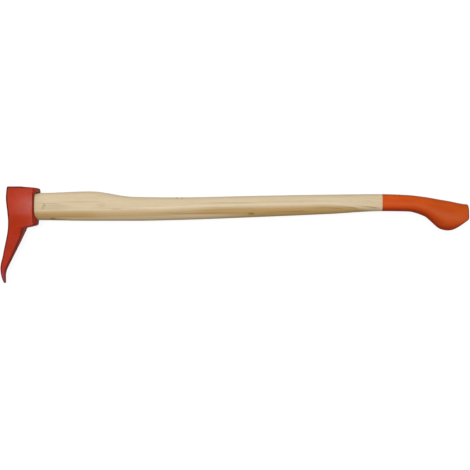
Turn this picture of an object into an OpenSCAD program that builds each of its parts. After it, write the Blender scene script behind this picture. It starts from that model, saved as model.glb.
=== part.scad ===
// Log pick (sapie): a forged steel pick head wedged on a long ash handle.
//
// The tool lies on its side. The drawing frame has its X axis along the handle
// from the front of the head to the grip, Y from the pick up to the poll, and Z
// across the handle. Its zero is the middle of the eye at the front of the head.
// on_its_side() moves every piece so that the lower cheek lies at Z = 0 and the
// middle of the tool's box lies over the origin.

/* [Tenon and eye] */
// Height of the tenon and of the eye it fills
tenon_h = 59.2; // [56:0.2:63]
// Width of the tenon and of the eye it fills
tenon_w = 31; // [27:0.5:33]
// Gap between the tenon and the wall of the eye
eye_fit = 0.15; // [0.1:0.05:0.3]
// How much wider the eye is on each side at its front than at its waist
eye_flare = 1.5; // [0.5:0.1:2]
// Depth of the flare, from the front of the head to the waist of the eye
flare_depth = 40; // [25:1:50]
// Roundness of the oval: 2 is an ellipse, more has flatter sides
oval_power = 2.5; // [2:0.1:3.2]

/* [Handle shaft] */
// Length from the front of the head to the end of the grip
handle_len = 1000; // [980:1:1200]
// Place of the hump behind the head
hump_x = 179; // [150:1:210]
// Height of the hump's top above the axis of the eye
hump_top = 33; // [31:0.5:38]
// Depth of the underside below the axis at the hump
hump_under = 31; // [29:0.5:36]
// Width at the hump
hump_w = 32; // [29:0.5:34]
// Place where the hump has run out into the shaft
waist_x = 276; // [250:1:300]
// Height of the top there
waist_top = 21; // [18:0.5:26]
// Depth of the underside there
waist_under = 31; // [27:0.5:34]
// Place of the slackest point of the top line
shaft_x = 360; // [330:1:400]
// Height of the top there
shaft_top = 20; // [17:0.5:25]
// Depth of the underside there
shaft_under = 29.5; // [26:0.5:33]
// Width of the shaft there
shaft_w = 30; // [27:0.5:33]
// Place of the middle of the shaft
mid_x = 551; // [500:1:600]
// Height of the top at the middle
mid_top = 23.5; // [20:0.5:27]
// Depth of the underside at the middle
mid_under = 22.5; // [19:0.5:26]
// Width at the middle
mid_w = 29; // [26:0.5:32]
// Place where the shaft thins towards the grip
taper_x = 702; // [660:1:730]
// Height of the top there
taper_top = 26; // [23:0.5:29]
// Depth of the underside there
taper_under = 16; // [13:0.5:19]

/* [Grip and foot] */
// Length of the coated grip
grip_len = 187; // [170:1:200]
// Height of the top where the coat begins
throat_top = 27; // [25:0.5:29]
// Depth of the underside where the coat begins
throat_under = 10; // [8:0.5:12]
// Width of the grip
grip_w = 26.5; // [24:0.5:30]
// Distance from the end of the grip back to the start of the crook
crook_back = 130; // [122:1:138]
// Height of the top at the crook
crook_top = 25; // [23:0.2:27]
// Depth of the underside at the crook
crook_under = 10.8; // [10.2:0.2:14]
// Distance from the end back to the top of the calf
calf_back = 96; // [88:0.5:104]
// Height of the top at the calf
calf_top = 21.2; // [20:0.2:23]
// Depth of the underside at the calf
calf_under = 20.2; // [18:0.2:24]
// Distance from the end back to the heel, where the calf swells into the foot
heel_back = 56; // [52:0.5:66]
// Height of the top at the heel
heel_top = 14.4; // [13.6:0.2:17]
// Depth of the underside at the heel
heel_under = 50; // [44:0.5:51]
// Distance from the end back to the toe, the lowest point of the foot
toe_back = 44.5; // [38:0.5:48]
// Height of the top at the toe
toe_top = 12.5; // [10:0.5:13.5]
// Depth of the toe
toe_under = 52; // [51.5:0.5:58]
// Width of the foot
foot_w = 33; // [30:0.5:36]
// Height of the top at the end of the grip
end_top = 5; // [2:0.5:8]
// Depth at which the sole's cut meets the end face
end_under = 28; // [22:0.5:32]
// Slope of the sole's cut, in degrees from the axis
sole_angle = 38; // [32:1:44]
// Length over which the sole's cut rounds into the sides
sole_round = 9; // [4:0.5:14]
// Radius round the end face
end_round = 3; // [2:0.5:6]
// Thickness of the coat on the grip
coat_t = 0.4; // [0.3:0.05:0.8]

/* [Head: eye] */
// Width of the head across its cheeks
head_w = 42; // [40:0.5:50]
// Thickness of the poll above the eye
poll_wall = 13.3; // [12:0.1:18]
// Length of the poll's flat top
poll_flat = 36; // [24:1:44]
// Thickness of the wall below the eye, where the pick leaves it
sole_wall = 14.2; // [13:0.1:18]
// Length of the cheeks along the handle
cheek_len = 60.6; // [55:0.2:62]
// Bevel along the cheeks' rear edges
cheek_bevel = 2.2; // [1:0.2:4]
// Reach of the upper lug along the handle
upper_lug = 69.2; // [66:0.2:74]
// Thickness of the upper lug at its end
upper_nose = 8.5; // [6:0.5:10]
// Reach of the lower lug along the handle
lower_lug = 65.4; // [64:0.2:72]
// Thickness of the lower lug at its end
lower_nose = 8.8; // [8:0.2:11]
// Width of the lugs at their ends
lug_w = 22; // [18:0.5:28]
// Radius of the cut behind the cheeks at the upper lug
upper_cut_r = 4; // [2:0.5:8]
// Radius of the cut behind the cheeks at the lower lug
lower_cut_r = 14; // [8:0.5:16]
// Hollow of the front face at the foot of the eye, behind the brow
throat_dip = 4.4; // [1:0.2:5]
// How far the front face leans back from the brow to the top of the poll
brow_lean = 1.6; // [0:0.2:2]
// Radius of the edges round the eye
edge_r = 3; // [2:0.1:4]

/* [Head: pick] */
// Depth of the pick's tip below the axis of the eye
pick_reach = 166.2; // [150:0.2:185]
// Place on the inner edge where the pick leaves the lower lug
root_x = 41.1; // [36:0.1:44]
// How far the inner edge bows in where it meets the lower lug
root_bow = 2.6; // [0:0.2:4]
// Width across the pick at its root
root_w = 28; // [22:0.5:32]
// How far the pick's back stands ahead of the brow
pick_kick = 15.6; // [10:0.2:20]
// Height of that foremost point above the tip
kick_up = 32; // [24:1:36]
// How far the spine of the pick stands ahead of the brow, halfway between the two
spine_kick = 9.3; // [5:0.1:13]
// Height of the spine's station above the tip
spine_up = 61; // [54:1:68]
// Depth of the hook from that foremost point to the toe behind it
hook_d = 11.2; // [9:0.2:14]
// Height above the tip at which the pick's inner edge turns into the toe
hook_up = 25; // [20:0.5:30]
// Depth of the pick from front to back at its tip
tip_d = 3.2; // [3:0.1:5]
// Width across the pick at its tip
tip_w = 9; // [6:0.5:13]

/* [Wedges] */
// Thickness of the wooden wedge at the end of the tenon
wedge_t = 5; // [3:0.5:7]
// Depth of the wooden wedge
wedge_depth = 44; // [35:1:50]
// Gap between the ends of the wooden wedge and the wall of the eye
wedge_inset = 3.5; // [2:0.5:6]
// Width of each steel wedge
steel_w = 20; // [14:0.5:22]
// Thickness of a steel wedge at the end of the tenon
steel_t = 3; // [2:0.1:4]
// Depth of the steel wedges
steel_depth = 28; // [20:1:34]
// Distance between the middles of the two steel wedges
steel_apart = 28; // [20:1:34]
// Gap all round a wedge
wedge_fit = 0.1; // [0.05:0.05:0.2]
// Distance that the tenon's end lies behind the front of the head
end_recess = 0.8; // [0.3:0.1:2]

/* [Hidden] */

// Counts of flats: round an oval, round a corner of the head
oval_sides = 36;
corner_steps = 4;
// Height over which the pick's inner edge turns into the lower lug's underside
root_fillet = 2.5;
// Length of the bow in the pick's inner edge below that
bow_run = 35;
// Rounding of a lug's outer corner
nose_round = 3;
// The cheeks are flat down to this depth, and the sides reach the pick's width this far below its root
cheek_drop = 14.75;
root_blend = 10;
// How sharply the plan is drawn in from the cheeks to the lugs: 1 is a straight line
lug_sweep = 1.8;
// How sharply the pick's back bends in towards the tip
tip_bend = 2.2;
// Radius of the pick's tip, and length over which its inner edge turns into the toe
tip_round = 1.3;
toe_round = 4.5;
// Steps along the handle in each stretch between two stations
shaft_steps = 4;
// Least distance from the last section of the foot to those round its end
section_gap = 1;

// Thickness of the wedges at their thin ends
wood_wedge_tip = 1.2;
steel_wedge_tip = 0.8;
// How far a cutter reaches past what it cuts, and thickness of the sheets that a cutter is drawn between
cut_margin = 10;
cut_sheet = 0.01;

eye_half = tenon_h / 2 + eye_fit;
head_top = eye_half + poll_wall;
sole_y = -eye_half - sole_wall;
root_y = sole_y - root_fillet;
tip_y = -pick_reach;
kick_y = tip_y + kick_up;
toe_x = -pick_kick + hook_d;
lug_end = max(upper_lug, lower_lug);
grip_x = handle_len - grip_len;

// Box of the tool in the drawing frame
box_x = [-pick_kick, handle_len];
box_y = [tip_y, head_top];

module on_its_side() {
    translate([-(box_x[0] + box_x[1]) / 2, -(box_y[0] + box_y[1]) / 2, head_w / 2])
        children();
}

// Smooth curves through stations

// Slope of a curve at station i, flat at a turning point, so that no station is overshot
function secant(p, i) = (p[i + 1][1] - p[i][1]) / (p[i + 1][0] - p[i][0]);
function slope(p, i) =
    i == 0 || i == len(p) - 1 ? 0 :
    let (a = secant(p, i - 1), b = secant(p, i),
         ha = p[i][0] - p[i - 1][0], hb = p[i + 1][0] - p[i][0])
    a * b <= 0 ? 0 : 3 * (ha + hb) / ((2 * hb + ha) / a + (hb + 2 * ha) / b);

function stretch_at(p, x, i = 0) = i >= len(p) - 2 || x <= p[i + 1][0] ? i : stretch_at(p, x, i + 1);

// Value at x of the curve through the points p, which are in order of x
function curve(p, x) =
    x <= p[0][0] ? p[0][1] :
    x >= p[len(p) - 1][0] ? p[len(p) - 1][1] :
    let (i = stretch_at(p, x), h = p[i + 1][0] - p[i][0], u = (x - p[i][0]) / h)
    p[i][1] * (2 * u * u * u - 3 * u * u + 1) + p[i + 1][1] * (3 * u * u - 2 * u * u * u)
    + slope(p, i) * h * (u * u * u - 2 * u * u + u) + slope(p, i + 1) * h * (u * u * u - u * u);

// The larger of two heights, rounded over the length r where they meet
function soft_max(a, b, r) =
    let (h = max(r - abs(a - b), 0) / r) max(a, b) + h * h * r / 4;

// Triangles of a closed skin over rings of n points each, from the first ring to the last
function skin(n, rings) = concat(
    [for (i = [0:rings - 2], j = [0:n - 1])
        [i * n + j, i * n + (j + 1) % n, (i + 1) * n + j]],
    [for (i = [0:rings - 2], j = [0:n - 1])
        [i * n + (j + 1) % n, (i + 1) * n + (j + 1) % n, (i + 1) * n + j]],
    [for (j = [1:n - 2]) [0, j + 1, j]],
    [for (j = [1:n - 2]) let (last = (rings - 1) * n) [last, last + j, last + j + 1]]);

function flatten(lists) = [for (list = lists, item = list) item];

// Handle

// Stations along the handle: place, top, underside, width
stations = [
    [0, tenon_h / 2, -tenon_h / 2, tenon_w],
    [lug_end, tenon_h / 2, -tenon_h / 2, tenon_w],
    [hump_x, hump_top, -hump_under, hump_w],
    [waist_x, waist_top, -waist_under, (hump_w + shaft_w) / 2],
    [shaft_x, shaft_top, -shaft_under, shaft_w],
    [mid_x, mid_top, -mid_under, mid_w],
    [taper_x, taper_top, -taper_under, (mid_w + grip_w) / 2],
    [grip_x, throat_top, -throat_under, grip_w],
    [handle_len - crook_back, crook_top, -crook_under, grip_w],
    [handle_len - calf_back, calf_top, -calf_under, (2 * grip_w + foot_w) / 3],
    [handle_len - heel_back, heel_top, -heel_under, (grip_w + 4 * foot_w) / 5],
    [handle_len - toe_back, toe_top, -toe_under, foot_w],
    [handle_len, end_top, -toe_under, foot_w],
];
grip_station = 7;
toe_station = 11;
top_line = [for (s = stations) [s[0], s[1]]];
under_line = [for (s = stations) [s[0], s[2]]];
width_line = [for (s = stations) [s[0], s[3]]];

function signed_power(v, p) = (v < 0 ? -1 : 1) * pow(abs(v), p);
// Point at angle a of an oval with half height h and half width w
function oval(a, h, w) = [h * signed_power(sin(a), 2 / oval_power), w * signed_power(cos(a), 2 / oval_power)];

// Height of the sole's cut at x
function sole_line(x) = -end_under - (handle_len - x) * tan(sole_angle);
// Inset of a rounded edge of radius r at the distance d from the face
function round_off(d, r) = d >= r ? 0 : r - sqrt(max(r * r - (r - d) * (r - d), 0));
// Flare of the eye at x
function flare(x) = x >= flare_depth ? 0 : eye_flare * pow(1 - max(x, 0) / flare_depth, 2);

// One section of the handle at x, grown outwards by grow
function handle_ring(x, grow = 0) =
    let (top = curve(top_line, x), under = curve(under_line, x),
         out = grow + flare(x) - round_off(handle_len - x, end_round),
         half_h = (top - under) / 2 + out, half_w = curve(width_line, x) / 2 + out)
    [for (j = [0:oval_sides - 1])
        let (p = oval(360 * (j + 0.5) / oval_sides, half_h, half_w))
        [x, soft_max((top + under) / 2 + p[0], sole_line(x) - out / cos(sole_angle), sole_round), p[1]]];

// Places of the sections from station a to station b
function places(a, b, steps) = [for (i = [a:b - 1], k = [0:steps - 1])
    stations[i][0] + (stations[i + 1][0] - stations[i][0]) * k / steps];
eye_places = [-cut_margin, 0, flare_depth / 4, flare_depth / 2, flare_depth];
foot_places = [for (x = concat(places(grip_station, toe_station, 5), places(toe_station, toe_station + 1, 8)))
    if (x < handle_len - end_round - section_gap) x];
// Through the rounded end, closer together towards the face
end_places = [for (k = [0:3]) handle_len - end_round * (1 - sin(30 * k))];

// Sections of the grip, grown by grow, which end as far from the end face
function grip_rings(grow) = [for (x = concat(foot_places, end_places))
    [for (p = handle_ring(x, grow)) [min(p[0], handle_len + grow), p[1], p[2]]]];

// Head

// Front of the head at height y: cut-away tip, foremost point, spine, throat and brow
front_line = [
    [kick_y, -pick_kick],
    [tip_y + spine_up, -spine_kick],
    [-eye_half, throat_dip],
    [tenon_h / 3, 0],
    [head_top, brow_lean],
];
function front_x(y) = y >= kick_y ? curve(front_line, y) :
    -pick_kick + (hook_d - tip_d) * pow((kick_y - y) / kick_up, tip_bend);

// Back of the head at height y: toe, inner edge of the pick, lower lug, upper lug, poll
lug_line = [
    [root_y, root_x - root_bow],
    [sole_y, root_x + 3 * root_fillet],
    [-eye_half - lower_nose - nose_round / 2, lower_lug - nose_round],
    [-eye_half - lower_nose + nose_round / 2, lower_lug - nose_round / 5],
    [-eye_half, lower_lug],
    [eye_half, upper_lug],
    [eye_half + upper_nose - nose_round / 2, upper_lug - nose_round / 5],
    [eye_half + upper_nose + nose_round / 2, upper_lug - nose_round],
    [head_top, poll_flat],
];
function inner_edge(y) = root_x + (y - root_y) * (root_x - toe_x) / (root_y - tip_y - hook_up)
    - root_bow * pow(max(1 + (y - root_y) / bow_run, 0), 2);
function back_x(y) = y >= root_y ? curve(lug_line, y) : soft_max(inner_edge(y), toe_x, toe_round);

// Half the width of the head at height y
half_w_line = [
    [tip_y, tip_w / 2],
    [root_y - root_blend, root_w / 2],
    [-cheek_drop, head_w / 2],
    [head_top, head_w / 2],
];
// Inset of a slice where the tip and the top of the poll are rounded
function head_inset(y) = round_off(head_top - y, edge_r) + round_off(y - tip_y, tip_round);

// Level slice of the head at height y: a rectangle with round corners
function head_slice(y) =
    let (front = front_x(y) + head_inset(y), back = back_x(y) - head_inset(y),
         half_w = curve(half_w_line, y) - head_inset(y),
         half_d = (back - front) / 2, r = min(edge_r, 0.6 * half_d, 0.6 * half_w),
         middle = (front + back) / 2)
    [for (q = [0:3], k = [0:corner_steps])
        let (a = 90 * (q + k / corner_steps), sx = (q == 0 || q == 3) ? 1 : -1, sz = q < 2 ? 1 : -1)
        [middle + sx * (half_d - r) + r * cos(a), y, sz * (half_w - r) + r * sin(a)]];

function spread(a, b, steps) = [for (k = [1:steps]) a + (b - a) * k / steps];
head_places = concat(
    [for (k = [0:3]) tip_y + tip_round * (1 - cos(30 * k))],
    spread(tip_y + tip_round, root_y, 18),
    spread(root_y, -eye_half, 12),
    spread(-eye_half, eye_half, 8),
    spread(eye_half, head_top - edge_r, 8),
    [for (k = [1:3]) head_top - edge_r * (1 - sin(30 * k))]);

// Plan of the head: full width at the cheeks, drawn in to the lugs' ends
module head_plan() {
    start = cheek_len - cheek_bevel;
    drawn_in = [for (u = [0:1 / 6:1])
        [start + u * (lug_end - start), lug_w / 2 + (head_w - lug_w) / 2 * pow(1 - u, lug_sweep)]];
    edge = concat([[-pick_kick - cut_margin, head_w / 2]], drawn_in, [[lug_end + cut_margin, lug_w / 2]]);
    other_edge = [for (i = [len(edge) - 1:-1:0]) [edge[i][0], -edge[i][1]]];
    translate([0, head_top + cut_margin, 0])
        rotate([90, 0, 0])
            linear_extrude(head_top - tip_y + 2 * cut_margin)
                polygon(concat(edge, other_edge));
}

// Outline of the cut behind the cheeks, with a round corner at each lug
module cut_outline() {
    upper = [for (a = [90:15:180])
        [cheek_len + upper_cut_r * (1 + cos(a)), eye_half + upper_cut_r * (sin(a) - 1)]];
    lower = [for (a = [180:15:270])
        [cheek_len + lower_cut_r * (1 + cos(a)), -eye_half + lower_cut_r * (sin(a) + 1)]];
    far = lug_end + cut_margin;
    polygon(concat([[far, eye_half]], upper, lower, [[far, -eye_half]]));
}

// Cuts the cheeks back between the lugs and bevels their rear edges
module behind_cheeks() {
    linear_extrude(2 * head_w, center = true)
        cut_outline();
    for (side = [0, 1])
        mirror([0, 0, side])
            hull() {
                translate([0, 0, head_w / 2 - cheek_bevel])
                    linear_extrude(cut_sheet)
                        cut_outline();
                translate([-cheek_bevel - cut_margin, 0, head_w / 2 + cut_margin])
                    linear_extrude(cut_sheet)
                        cut_outline();
            }
}

// Removes what lies ahead of the tenon's end, which leans like the front of the head
module ahead_of_tenon() {
    far = -pick_kick - cut_margin;
    edge = [for (y = [root_y, 0, head_top]) [front_x(y) + end_recess, y]];
    linear_extrude(2 * head_w, center = true)
        polygon(concat([[far, root_y]], edge, [[far, head_top]]));
}

// Side of a wedge, grown by grow: its thick end starts ahead of the tenon's end
module wedge_side(thick, thin, depth, grow) {
    polygon([
        [-cut_margin, -thick / 2 - grow],
        [0, -thick / 2 - grow],
        [depth + grow, -thin / 2 - grow],
        [depth + grow, thin / 2 + grow],
        [0, thick / 2 + grow],
        [-cut_margin, thick / 2 + grow],
    ]);
}

// The wooden wedge or its kerf, which lies along the tenon's height
module wood_wedge_shape(length, grow) {
    rotate([90, 0, 0])
        linear_extrude(length, center = true)
            wedge_side(wedge_t, wood_wedge_tip, wedge_depth, grow);
}

// The steel wedges or their slots, which cross the wooden wedge
module steel_wedge_shapes(grow) {
    for (side = [-1, 1])
        translate([0, side * steel_apart / 2, 0])
            linear_extrude(steel_w + 2 * grow, center = true)
                wedge_side(steel_t, steel_wedge_tip, steel_depth, grow);
}

module handle() {
    tenon = [for (x = eye_places) handle_ring(x)];
    shaft = [for (x = places(1, grip_station, shaft_steps)) handle_ring(x)];
    grip = concat([handle_ring(grip_x)], grip_rings(-coat_t));
    rings = concat(tenon, shaft, grip);
    color("#d8c49a")
        on_its_side()
            difference() {
                polyhedron(flatten(rings), skin(oval_sides, len(rings)));
                ahead_of_tenon();
                wood_wedge_shape(2 * tenon_h, wedge_fit);
                steel_wedge_shapes(wedge_fit);
            }
}

module grip_coat() {
    outer = grip_rings(0);
    inner = concat([handle_ring(grip_x - cut_margin, -coat_t)], grip_rings(-coat_t));
    color("#d0561a")
        on_its_side()
            difference() {
                polyhedron(flatten(outer), skin(oval_sides, len(outer)));
                polyhedron(flatten(inner), skin(oval_sides, len(inner)));
            }
}

module wood_wedge() {
    color("#b98a55")
        on_its_side()
            difference() {
                wood_wedge_shape(tenon_h - 2 * wedge_inset, 0);
                ahead_of_tenon();
                steel_wedge_shapes(wedge_fit);
            }
}

module steel_wedges() {
    color("#8b8d90")
        on_its_side()
            difference() {
                steel_wedge_shapes(0);
                ahead_of_tenon();
            }
}

module head() {
    slices = [for (y = head_places) head_slice(y)];
    bore = concat(
        [for (x = eye_places) handle_ring(x, eye_fit)],
        [[for (p = handle_ring(lug_end, eye_fit)) [p[0] + cut_margin, p[1], p[2]]]]);
    color("#b0482f")
        on_its_side()
            difference() {
                intersection() {
                    polyhedron(flatten(slices), skin(len(slices[0]), len(slices)));
                    head_plan();
                }
                polyhedron(flatten(bore), skin(oval_sides, len(bore)));
                behind_cheeks();
            }
}

head();
handle();
wood_wedge();
steel_wedges();
grip_coat();
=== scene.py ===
"""Log pick: a forged, painted pick head wedged on a long ash handle with a dipped grip.

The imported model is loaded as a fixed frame. The head, the handle, the grip's coat and the wedges
are then made again at full smoothness from the same rules and sizes, and given their finishes.
Sizes are millimetres in the tool's own drawing frame: X along the handle from the brow of the
head, Y from the pick up to the poll, Z across the handle. ToolFrame turns them into the model's
metres.
"""
from __future__ import annotations

import logging
import math
from dataclasses import dataclass, replace
from enum import Enum
from typing import Callable, Iterable, NamedTuple, Sequence

import bmesh
import bpy
import numpy as np
from bpy.types import ID, Material, Node, NodeSocket, NodeTree, Object
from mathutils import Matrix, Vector

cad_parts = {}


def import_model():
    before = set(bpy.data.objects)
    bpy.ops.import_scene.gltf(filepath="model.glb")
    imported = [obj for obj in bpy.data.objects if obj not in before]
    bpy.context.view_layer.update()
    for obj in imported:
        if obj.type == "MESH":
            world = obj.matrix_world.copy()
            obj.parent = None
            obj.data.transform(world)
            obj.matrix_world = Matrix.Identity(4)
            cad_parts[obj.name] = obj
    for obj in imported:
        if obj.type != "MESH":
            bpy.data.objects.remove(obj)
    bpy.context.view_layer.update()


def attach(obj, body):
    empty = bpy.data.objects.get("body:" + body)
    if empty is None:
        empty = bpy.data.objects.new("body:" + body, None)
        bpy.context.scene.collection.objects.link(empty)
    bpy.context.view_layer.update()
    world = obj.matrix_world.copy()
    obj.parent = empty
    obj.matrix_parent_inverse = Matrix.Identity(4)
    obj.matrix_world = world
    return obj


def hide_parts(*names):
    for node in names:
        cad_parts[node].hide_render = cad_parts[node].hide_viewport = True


LOG = logging.getLogger("log_pick")
MM = 0.001
IMAGE_PIXELS = 470
MERGE_DISTANCE = 1e-7
# How far a cutting tool reaches past its piece, in millimetres
TOOL_PAST = 10.0
# Least square of an edge's length that is divided by, in square millimetres
LEAST_SQUARE = 1e-6

Point = tuple[float, float, float]
Colour = tuple[float, float, float]
Line = Sequence[tuple[float, float]]
Step = tuple[float, ...]
Window = tuple[float, ...]


# Shared maths


def secant(line: Line, i: int) -> float:
    """Slope of the straight line from station i to the next."""
    return (line[i + 1][1] - line[i][1]) / (line[i + 1][0] - line[i][0])


def station_slope(line: Line, i: int) -> float:
    """Slope of the smooth curve at a station, flat at its ends and turning points.

    Args:
        line: Stations as (place, value), in order of place.
        i: Which station.

    Returns:
        The slope that lets the curve overshoot no station.
    """
    if i in (0, len(line) - 1):
        return 0.0
    before, after = secant(line, i - 1), secant(line, i)
    if before * after <= 0:
        return 0.0
    gap_before = line[i][0] - line[i - 1][0]
    gap_after = line[i + 1][0] - line[i][0]
    weighted = (2 * gap_after + gap_before) / before + (gap_after + 2 * gap_before) / after
    return 3 * (gap_before + gap_after) / weighted


def smooth_curve(line: Line, x: float) -> float:
    """Value of the smooth curve through the stations of a line.

    Args:
        line: Stations as (place, value), in order of place.
        x: The place.

    Returns:
        The value there, or that of the nearest end past the ends.
    """
    if x <= line[0][0]:
        return line[0][1]
    if x >= line[-1][0]:
        return line[-1][1]
    i = max(k for k in range(len(line) - 1) if line[k][0] <= x)
    gap = line[i + 1][0] - line[i][0]
    u = (x - line[i][0]) / gap
    ends = line[i][1] * (2 * u**3 - 3 * u**2 + 1) + line[i + 1][1] * (3 * u**2 - 2 * u**3)
    slopes = station_slope(line, i) * (u**3 - 2 * u**2 + u) + station_slope(line, i + 1) * (u**3 - u**2)
    return ends + gap * slopes


def soft_max(a: float, b: float, reach: float) -> float:
    """The larger of two values, rounded over a reach where they meet."""
    share = max(reach - abs(a - b), 0.0) / reach
    return max(a, b) + share * share * reach / 4


def round_off(depth: float, radius: float) -> float:
    """Inset of an edge rounded to a radius, at a depth below its face."""
    rest = max(radius - depth, 0.0)
    return radius - math.sqrt(max(radius**2 - rest**2, 0.0))


def spread(start: float, end: float, steps: int) -> list[float]:
    """Even places after start, up to and with end."""
    return [start + (end - start) * k / steps for k in range(1, steps + 1)]


def quarter(start: float, steps: int) -> list[float]:
    """Angles in radians over a quarter turn from a start in degrees."""
    return [math.radians(start + 90 * k / steps) for k in range(steps + 1)]


# Node work


def math_method(operation: str, reflected: bool = False) -> Callable[..., Field]:
    """Make a method of Field that adds one Math node.

    Args:
        operation: Blender's name for what the node does.
        reflected: Whether the other value comes first.

    Returns:
        The method, which takes the other value where the operation has one.
    """
    def method(self: Field, *other: Term) -> Field:
        """Add the node on this value and the other."""
        return self.work.maths(operation, *((*other, self) if reflected else (self, *other)))
    return method


class Field:
    """An output of a node, on which Python's operators add Math nodes."""

    __add__ = math_method("ADD")
    __radd__ = math_method("ADD", reflected=True)
    __sub__ = math_method("SUBTRACT")
    __rsub__ = math_method("SUBTRACT", reflected=True)
    __mul__ = math_method("MULTIPLY")
    __rmul__ = math_method("MULTIPLY", reflected=True)
    __truediv__ = math_method("DIVIDE")
    __rtruediv__ = math_method("DIVIDE", reflected=True)
    __pow__ = math_method("POWER")
    __abs__ = math_method("ABSOLUTE")
    fraction = math_method("FRACT")
    at_least = math_method("MAXIMUM")

    def __init__(self, work: NodeWork, out: NodeSocket) -> None:
        """Wrap one output socket of a tree."""
        self.work = work
        self.out = out

    def rise(self, start: float, full: float, share: float = 1.0) -> Field:
        """Smooth step along this value.

        Args:
            start: Where the step is 0.
            full: Where it has its full share; it may lie below start.
            share: How much it comes to.

        Returns:
            The step.
        """
        settings = {"interpolation_type": "SMOOTHSTEP"}
        inputs = {"Value": self, "From Min": start, "From Max": full, "To Min": 0.0, "To Max": share}
        return self.work.field("ShaderNodeMapRange", settings, inputs)

    def within(self, start: float, full: float, fade: float, gone: float, share: float = 1.0) -> Field:
        """Smooth window: 0 up to start, its share from full to fade, and 0 again past gone."""
        return self.rise(start, full, share) * self.rise(gone, fade)

    def bump_at(self, middle: float, reach: float) -> Field:
        """A smooth hump, 1 at the middle and 0 past a reach on either side of it."""
        return abs(self - middle).rise(reach, 0.0)


Term = Field | float | int
Axes = tuple[Field, Field, Field]


@dataclass(frozen=True)
class Noise:
    """One smooth noise; size is the reach of a feature along each axis, in millimetres."""

    size: Point
    detail: float
    roughness: float
    seed: float


class NodeWork:
    """Adds nodes to one tree and wraps their outputs as fields."""

    MIX_FACTOR, MIX_FIRST, MIX_SECOND, MIX_RESULT = 0, 6, 7, 2

    def __init__(self, tree: NodeTree) -> None:
        """Work on a tree that is empty or has only its own output."""
        self.tree = tree

    def node(self, kind: str, settings: dict | None = None, inputs: dict | None = None) -> Node:
        """Add one node.

        Args:
            kind: Blender's name for the type of node.
            settings: Its properties, set first.
            inputs: Values, fields or sockets for its inputs, by name or number.

        Returns:
            The new node.
        """
        made = self.tree.nodes.new(kind)
        for name, value in (settings or {}).items():
            setattr(made, name, value)
        for name, value in (inputs or {}).items():
            source = value.out if isinstance(value, Field) else value
            if isinstance(source, NodeSocket):
                self.tree.links.new(source, made.inputs[name])
            else:
                made.inputs[name].default_value = source
        return made

    def field(self, kind: str, settings: dict | None = None, inputs: dict | None = None,
              out: int | str = 0) -> Field:
        """Add one node and wrap one of its outputs."""
        return Field(self, self.node(kind, settings, inputs).outputs[out])

    def maths(self, operation: str, *terms: Term) -> Field:
        """Add a Math node on up to three terms."""
        return self.field("ShaderNodeMath", {"operation": operation}, dict(enumerate(terms)))

    def vector(self, x: Term, y: Term, z: Term) -> Field:
        """Join three values into a vector."""
        return self.field("ShaderNodeCombineXYZ", None, {"X": x, "Y": y, "Z": z})

    def colours(self, base: Field | Colour, coats: Iterable[tuple[Term, Field | Colour]]) -> Field:
        """Lay colours over a base, one after another.

        Args:
            base: The colour below.
            coats: How much of each colour there is, and the colour.

        Returns:
            The mixed colour.
        """
        for share, coat in coats:
            low, high = ((*c, 1.0) if isinstance(c, tuple) else c for c in (base, coat))
            inputs = {self.MIX_FACTOR: share, self.MIX_FIRST: low, self.MIX_SECOND: high}
            base = self.field("ShaderNodeMix", {"data_type": "RGBA"}, inputs, self.MIX_RESULT)
        return base

    def attribute(self, name: str) -> Field:
        """Read a number that the mesh carries at each point."""
        return self.field("ShaderNodeAttribute", {"attribute_name": name}, None, "Fac")

    def noise(self, place: Sequence[Term], kind: Noise) -> Field:
        """Add smooth noise.

        Args:
            place: The three axes that it follows.
            kind: Its size and character.

        Returns:
            The noise, from 0 to 1.
        """
        scaled = self.vector(*(axis / size for axis, size in zip(place, kind.size)))
        inputs = {"Vector": scaled, "W": kind.seed, "Scale": 1.0, "Detail": kind.detail,
                  "Roughness": kind.roughness}
        return self.field("ShaderNodeTexNoise", {"noise_dimensions": "4D"}, inputs)


# Frame and names


class Slot(Enum):
    """Material slots of the record."""

    HEAD_PAINT = "head_paint"
    ASH = "ash"
    WEDGE_WOOD = "wedge_wood"
    WEDGE_STEEL = "wedge_steel"
    GRIP_PAINT = "grip_paint"


@dataclass(frozen=True)
class ToolFrame:
    """Place of the drawing frame's zero in the model, in millimetres."""

    x: float
    y: float
    z: float

    def place(self, p: Sequence[float]) -> Point:
        """A point of the drawing frame, in the model's metres."""
        return ((p[0] + self.x) * MM, (p[1] + self.y) * MM, (p[2] + self.z) * MM)

    def drawn(self, p: Sequence[float]) -> Point:
        """A point of the model in metres, in the drawing frame."""
        return (p[0] / MM - self.x, p[1] / MM - self.y, p[2] / MM - self.z)

    def axes(self, work: NodeWork) -> Axes:
        """Object coordinates for a material.

        Args:
            work: The work on the material's tree.

        Returns:
            X, Y and Z in millimetres of the drawing frame.
        """
        place = work.node("ShaderNodeTexCoord").outputs["Object"]
        mapped = work.node("ShaderNodeVectorMath", {"operation": "MULTIPLY_ADD"},
                           {0: place, 1: (1 / MM, 1 / MM, 1 / MM), 2: (-self.x, -self.y, -self.z)})
        parts = work.node("ShaderNodeSeparateXYZ", None, {"Vector": mapped.outputs["Vector"]})
        return tuple(Field(work, parts.outputs[name]) for name in "XYZ")


def add_piece(obj: Object, node: str, material: Material) -> None:
    """Give a finished piece its material and its body, hide the CAD node that it replaces, and log it.

    Args:
        obj: The piece.
        node: The CAD node that it replaces.
        material: Its finish.
    """
    obj.data.materials.clear()
    obj.data.materials.append(material)
    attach(obj, "root")
    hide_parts(node)
    LOG.info("%s: %d faces, for node %s", obj.name, len(obj.data.polygons), node)


# Mesh work


def link_object(name: str, data: ID) -> Object:
    """Make an object of its data, linked to the scene.

    Args:
        name: The object's name.
        data: Its mesh, light or camera.

    Returns:
        The object.
    """
    made = bpy.data.objects.new(name, data)
    bpy.context.scene.collection.objects.link(made)
    return made


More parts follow.
